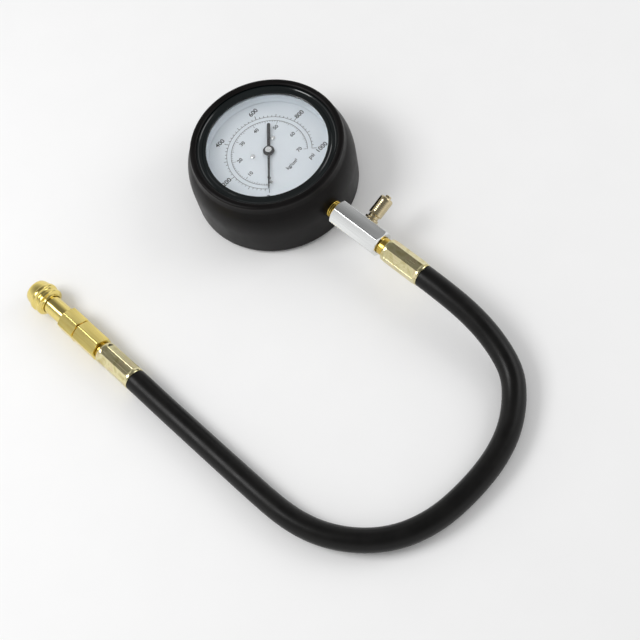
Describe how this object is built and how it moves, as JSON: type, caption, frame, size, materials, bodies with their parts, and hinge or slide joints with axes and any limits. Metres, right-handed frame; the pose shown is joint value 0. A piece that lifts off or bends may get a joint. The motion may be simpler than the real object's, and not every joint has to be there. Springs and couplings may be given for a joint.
{
  "type": "compression tester gauge",
  "caption": "Dial pressure gauge in a rubber boot, on a hexagon block with a press-to-release valve, with a rubber hose that ends in a brass quick coupler.",
  "frame": {"origin": "on the gauge's axis, at the flat back of the rubber boot", "axes": "+Z out of the dial, -Y along the stem toward the valve block and hose, +X toward the release valve"},
  "size_m": [0.1967, 0.2632, 0.04],
  "materials": {
    "rubber": "satin moulded rubber",
    "gloss_black": "gloss black paint",
    "black_paint": "satin black paint",
    "white_dial": "matte white paint",
    "clear_lens": "clear",
    "brass": "turned brass",
    "polished_brass": "polished brass",
    "nickel": "bright nickel plate",
    "steel": "plain steel",
    "yellow_zinc": "pale yellow zinc plate",
    "bronze": "drawn bronze",
    "pointer_black": "matte black paint"
  },
  "bodies": {
    "gauge_body": {"rubber_boot": "rubber", "gauge_case": "black_paint", "bezel_ring": "gloss_black", "lens": "clear_lens", "lens_gasket": "rubber", "dial_ring": "white_dial", "dial_plate": "white_dial", "dial_screw_1": "steel", "dial_screw_2": "steel", "stop_pin": "steel", "hairspring": "bronze", "movement_front_plate": "brass", "movement_back_plate": "brass", "movement_pillar_1": "brass", "movement_pillar_2": "brass", "movement_pillar_3": "brass", "movement_screw_1": "steel", "movement_screw_2": "steel", "bourdon_tube": "bronze", "stem_socket": "brass", "case_screw_1": "steel", "case_screw_2": "steel", "valve_block": "nickel", "relief_sleeve": "nickel", "relief_spring": "steel", "hose_tail_gauge": "brass", "ferrule_gauge": "yellow_zinc", "hose": "rubber", "ferrule_coupler": "yellow_zinc", "hose_tail_coupler": "brass", "coupler_adapter": "polished_brass", "coupler_body": "polished_brass", "sleeve_spring": "steel", "snap_ring": "steel", "lock_ball_1": "steel", "lock_ball_2": "steel", "lock_ball_3": "steel", "lock_ball_4": "steel", "coupler_seal": "rubber", "check_spring": "steel"},
    "sector": {"sector_gear": "brass", "sector_arbor": "steel"},
    "pointer": {"pointer": "pointer_black", "pointer_bush": "steel", "pinion_arbor": "brass"},
    "tip": {"tube_tip": "bronze"},
    "link": {"link": "steel"},
    "relief_button": {"relief_button": "nickel", "relief_seal": "rubber"},
    "sleeve": {"coupler_sleeve": "polished_brass"},
    "check_poppet": {"check_poppet": "brass"}
  },
  "joints": [
    {"name": "sector_turn", "type": "hinge", "parent": "gauge_body", "child": "sector", "pos_m": [-0.002, -0.02241, 0.02], "axis": [0, 0, 1], "range_deg": [0, 33.75], "stiffness_Nm_per_rad": 0.01},
    {"name": "pointer_turn", "type": "hinge", "parent": "gauge_body", "child": "pointer", "pos_m": [0, 0, 0.03], "axis": [0, 0, -1], "range_deg": [0, 270], "deforming": ["hairspring"]},
    {"name": "tip_travel", "type": "slide", "parent": "gauge_body", "child": "tip", "axis": [-0.75, 0.6614, 0], "range_m": [0, 0.00405], "deforming": ["bourdon_tube"]},
    {"name": "link_swing", "type": "hinge", "parent": "tip", "child": "link", "pos_m": [-0.02753, -0.00738, 0.0183], "axis": [0, 0, -1], "range_deg": [0, 3]},
    {"name": "relief_press", "type": "slide", "parent": "gauge_body", "child": "relief_button", "axis": [-0.9511, 0, -0.309], "range_m": [0, 0.0014], "stiffness_N_per_m": 900, "deforming": ["relief_spring"]},
    {"name": "sleeve_slide", "type": "slide", "parent": "gauge_body", "child": "sleeve", "axis": [0, -1, 0], "range_m": [0, 0.003], "stiffness_N_per_m": 1500, "deforming": ["sleeve_spring"]},
    {"name": "check_lift", "type": "slide", "parent": "gauge_body", "child": "check_poppet", "axis": [0, -1, 0], "range_m": [0, 0.0025], "stiffness_N_per_m": 600, "deforming": ["check_spring"]}
  ],
  "couplings": [
    {"joint": "pointer_turn", "follows": "sector_turn", "ratio": 8},
    {"joint": "tip_travel", "follows": "sector_turn", "m_per_rad": 0.006875},
    {"joint": "link_swing", "follows": "sector_turn", "ratio": 0.0888}
  ]
}
